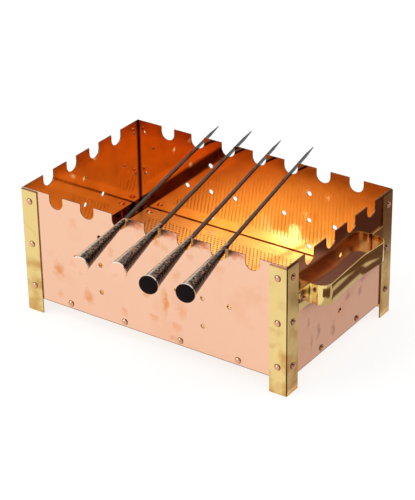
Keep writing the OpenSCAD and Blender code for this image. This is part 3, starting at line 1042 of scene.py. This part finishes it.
class BRAZIER_OT_straps(bpy.types.Operator):
    """Bends the two brass strap handles"""

    bl_idname = "brazier.straps"
    bl_label = "Strap handles"

    def execute(self, context):
        size = context.scene.brazier_strap
        brass = bpy.data.materials["Brass strap"]
        for side, node in ((1, "handle_right"), (-1, "handle_left")):
            low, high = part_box(node)
            path = strap_path(size, low, high)
            verts, faces = sweep(size, path, low.z, high.z)
            wall = low.x if side > 0 else high.x
            centre = (low.y + high.y) / 2
            verts = [(wall + side * x, centre + side * y, z) for x, y, z in verts]
            made = piece(node + "_strap", verts, faces, brass)
            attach(crisp(made, 50.0), "brazier")
            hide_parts(node)
        return {"FINISHED"}


def placing(size, i):
    """Maps a point drawn along Z from the cap's outer face to its place in the frame."""
    cap_low, cap_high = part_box(f"skewer_{i}_cap")
    blade_low, blade_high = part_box(f"skewer_{i}_blade")
    cap_middle = (cap_low + cap_high) / 2
    tip = Vector((blade_low.x, blade_high.y, blade_low.z))
    root = Vector((blade_high.x, blade_low.y, blade_high.z))
    slope = (tip - root).normalized()
    # Half the blade's width, which fits just inside the end of the nose
    blade = size.nose_end / 3
    # The blade's thick end moves with the slope, so the slope settles in a few rounds
    for _ in range(4):
        half = Vector(math.sqrt(1 - c * c) for c in slope) * blade
        start = Vector((root.x - half.x, root.y + half.y, root.z - half.z))
        slope = (start - cap_middle).normalized()
    origin = cap_middle - slope * size.cap_thickness / 2
    turn = slope.to_track_quat("Z", "Y")
    return lambda p: origin + turn @ p


def hand_grip(size, i, place, copper):
    """Hammered cone with a rounded nose, closed at both ends."""
    start = size.cap_thickness
    nose_start = size.grip - size.nose
    profile = []
    for k in range(size.along + 1):
        z = start + (size.grip - start) * k / size.along
        if z < nose_start:
            share_along = (z - start) / (nose_start - start)
            radius = (size.large + (size.small - size.large) * share_along) / 2
        else:
            share_along = (z - nose_start) / size.nose
            radius = (size.small + (size.nose_end - size.small) * share_along**2) / 2
        profile.append((radius, z))
    seed = Vector((7.3 * i, 1.9 * i, 0))
    dents, under = [], []
    axis = place(Vector((0, 0, 1))) - place(Vector())
    # Direction of the painted highlight; the side away from it gets painted shade
    polished = (LIT_SIDE - axis * LIT_SIDE.dot(axis)).normalized()

    def dented(p):
        radius = math.hypot(p.x, p.y)
        if radius == 0:
            dents.append(0.0)
            under.append(0.5)
            return place(p)
        out = (place(p) - place(Vector((0, 0, p.z)))).normalized()
        under.append(0.5 - 0.5 * out.dot(polished))
        near = noise.voronoi(p / size.dent_size + seed)[0][0]
        fade = min(1.0, (p.z - start) / (2 * size.dent_size), (size.grip - p.z) / (2 * size.dent_size))
        dent = (1 - min(near / DENT_REACH, 1.0) ** 2) * max(fade, 0.0)
        # The collar beside the cap counts as a full dent, which paints shade there
        dents.append(1.0 if p.z - start < GRIP_COLLAR else dent)
        factor = 1 - size.dent_depth * dent / radius
        return place(Vector((p.x * factor, p.y * factor, p.z)))

    verts, faces = lathe([(0, start), *profile, (0, size.grip)], size.around, dented)
    made = piece(f"skewer_{i}_grip", verts, faces, copper)
    note_points(made, "dent", dents)
    note_points(made, "under", under)
    return crisp(made, 60.0)


def cap_profile(size):
    """Flat disc with softened edges."""
    edge = size.cap_edge
    across = size.cap / 2 - edge
    lower = quarter(across, edge, edge, -90)
    upper = quarter(across, size.cap_thickness - edge, edge, 0)
    return [(0, 0), *lower, *upper, (0, size.cap_thickness)]


class BRAZIER_OT_skewers(bpy.types.Operator):
    """Hammers the four hand grips and turns their end caps"""

    bl_idname = "brazier.skewers"
    bl_label = "Skewers"

    def execute(self, context):
        size = context.scene.brazier_skewer
        copper = bpy.data.materials["Hammered grip"]
        for i in SKEWERS:
            place = placing(size, i)
            made = hand_grip(size, i, place, copper)
            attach(made, f"skewer_{i}")
            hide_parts(f"skewer_{i}_cone")
            # Two caps get the painted dark reflection
            cap_metal = bpy.data.materials["Shaded cap" if i in SHADED_CAPS else "Copper cap"]
            verts, faces = lathe(cap_profile(size), size.around, place)
            cap = crisp(piece(f"skewer_{i}_end", verts, faces, cap_metal), 60.0)
            # Rim marks for the painted highlight on the cap's side
            flat, _ = lathe(cap_profile(size), size.around, lambda p: p)
            side = size.cap / 2 - WELD
            note_points(cap, "rim", [float(math.hypot(v.x, v.y) > side and v.z > 0) for v in flat])
            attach(cap, f"skewer_{i}")
            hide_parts(f"skewer_{i}_cap")
        return {"FINISHED"}


def add_camera(context, look):
    """The camera that was fitted to the photograph."""
    data = bpy.data.cameras.new("Camera")
    data.lens = look.lens_share * data.sensor_width
    data.clip_end = 50.0
    camera = put("Camera", data)
    back = on_ball(look.azimuth, look.elevation)
    aim = back.to_track_quat("Z", "Y").to_matrix() @ Matrix.Rotation(look.roll, 3, "Z")
    eye = Vector(look.aim) + back * look.distance
    camera.matrix_world = Matrix.LocRotScale(eye, aim.to_quaternion(), None)
    context.scene.camera = camera


def seen_directly(tree):
    """1 for rays from the camera, from gloss and through glass, and 0 for the rest."""
    path = tree.add("ShaderNodeLightPath")
    return tree.most(tree.most(path["Is Camera Ray"], path["Is Glossy Ray"]), path["Is Transmission Ray"])


def add_floor(look):
    """Pale floor that looks evenly lit and still takes shadows."""
    material, tree = new_material("Pale floor")
    matte = tree.add("ShaderNodeBsdfDiffuse", {"Color": FLOOR_GREY})[0]
    glow = tree.add("ShaderNodeEmission", {"Strength": tree.times(seen_directly(tree), FLOOR_GLOW)})[0]
    both = tree.add("ShaderNodeAddShader", {0: matte, 1: glow})
    tree.add("ShaderNodeOutputMaterial", {"Surface": both[0]})
    half = look.floor / 2
    verts = [(-half, -half, 0), (half, -half, 0), (half, half, 0), (-half, half, 0)]
    piece("Floor", verts, [(0, 1, 2, 3)], material)


def add_world(context):
    """White sky, which is brighter where it is seen than where it lights."""
    world = bpy.data.worlds.new("Studio")
    world.use_nodes = True
    tree = Tree(world.node_tree)
    background = world.node_tree.nodes["Background"].inputs
    tree.feed(background["Color"], (1.0, 1.0, 1.0))
    seen = tree.times(seen_directly(tree), SKY_SEEN)
    tree.feed(background["Strength"], tree.plus(seen, SKY_LIGHT))
    context.scene.world = world


def add_cards():
    """Cards that only the metal sees, as a photographer sets round polished ware."""
    paints = {name: card_metal(name, *light) for name, light in CARD_LIGHT.items()}
    for name, (paint, height, outline) in FLAT_CARDS.items():
        verts = [(x, y, height * MM) for x, y in outline]
        add_card(name, verts, [tuple(range(len(verts)))], paints[paint])
    for name, (paint, bearings, heights, reach) in BENT_CARDS.items():
        add_card(name, *bent_card(bearings, heights, reach), paints[paint])


def bent_card(bearings, heights, reach):
    """Part of a ball round the object, between two bearings and two heights in degrees."""
    steps = 12
    row = steps + 1
    turns, rises = (
        [math.radians(low + (high - low) * k / steps) for k in range(row)]
        for low, high in (bearings, heights)
    )
    verts = [on_ball(turn, rise, reach) for turn in turns for rise in rises]
    corners = [k * row + j for k in range(steps) for j in range(steps)]
    return verts, [(a, a + 1, a + row + 1, a + row) for a in corners]


def card_metal(name, tint, strength):
    """A material that gives off light."""
    material, tree = new_material(name)
    glow = tree.add("ShaderNodeEmission", {"Color": tint, "Strength": strength})
    tree.add("ShaderNodeOutputMaterial", {"Surface": glow[0]})
    return material


def add_card(name, verts, faces, material):
    """A card that only shows in what the metal mirrors."""
    card = piece(name, verts, faces, material)
    card.visible_camera = False
    card.visible_diffuse = False
    card.visible_shadow = False


def add_lamp(name, place, width, power):
    """A square lamp that faces the middle."""
    data = bpy.data.lights.new(name, "AREA")
    data.size = width
    data.energy = power
    lamp = put(name, data)
    lamp.location = place
    lamp.rotation_euler = (-Vector(place)).to_track_quat("-Z", "Y").to_euler()


class BRAZIER_OT_stage(bpy.types.Operator):
    """Sets up the camera, the floor, the cards and the light"""

    bl_idname = "brazier.stage"
    bl_label = "Studio"

    def execute(self, context):
        look = context.scene.brazier_stage
        add_camera(context, look)
        add_floor(look)
        add_world(context)
        if look.use_cards:
            add_cards()
        add_lamp("Key", (-1.6, -1.9, 2.6), 2.2, 42.0)
        add_lamp("Fill", (1.9, 1.2, 2.2), 1.6, 14.0)
        context.scene.view_settings.view_transform = "Standard"
        return {"FINISHED"}


class BRAZIER_PT_panel(bpy.types.Panel):
    """Lists the steps in the order in which they run"""

    bl_idname = "BRAZIER_PT_panel"
    bl_label = "Copper brazier"
    bl_space_type = "VIEW_3D"
    bl_region_type = "UI"
    bl_category = "Brazier"

    def draw(self, context):
        for step in STEPS:
            self.layout.operator(step.bl_idname)
        for name, settings in SETTINGS.items():
            part = self.layout.box()
            part.label(text=settings.__doc__)
            for key in settings.__annotations__:
                part.prop(getattr(context.scene, name), key)


STEPS = (
    BRAZIER_OT_finishes,
    BRAZIER_OT_rivets,
    BRAZIER_OT_grate,
    BRAZIER_OT_straps,
    BRAZIER_OT_skewers,
    BRAZIER_OT_stage,
)
CLASSES = (*SETTINGS.values(), *STEPS, BRAZIER_PT_panel)


def register():
    for cls in CLASSES:
        bpy.utils.register_class(cls)
    for name, settings in SETTINGS.items():
        setattr(bpy.types.Scene, name, PointerProperty(type=settings))


def unregister():
    for name in SETTINGS:
        delattr(bpy.types.Scene, name)
    for cls in reversed(CLASSES):
        bpy.utils.unregister_class(cls)


def main():
    register()
    for step in STEPS:
        group, name = step.bl_idname.split(".")
        getattr(getattr(bpy.ops, group), name)()


if __name__ == "__main__":
    main()
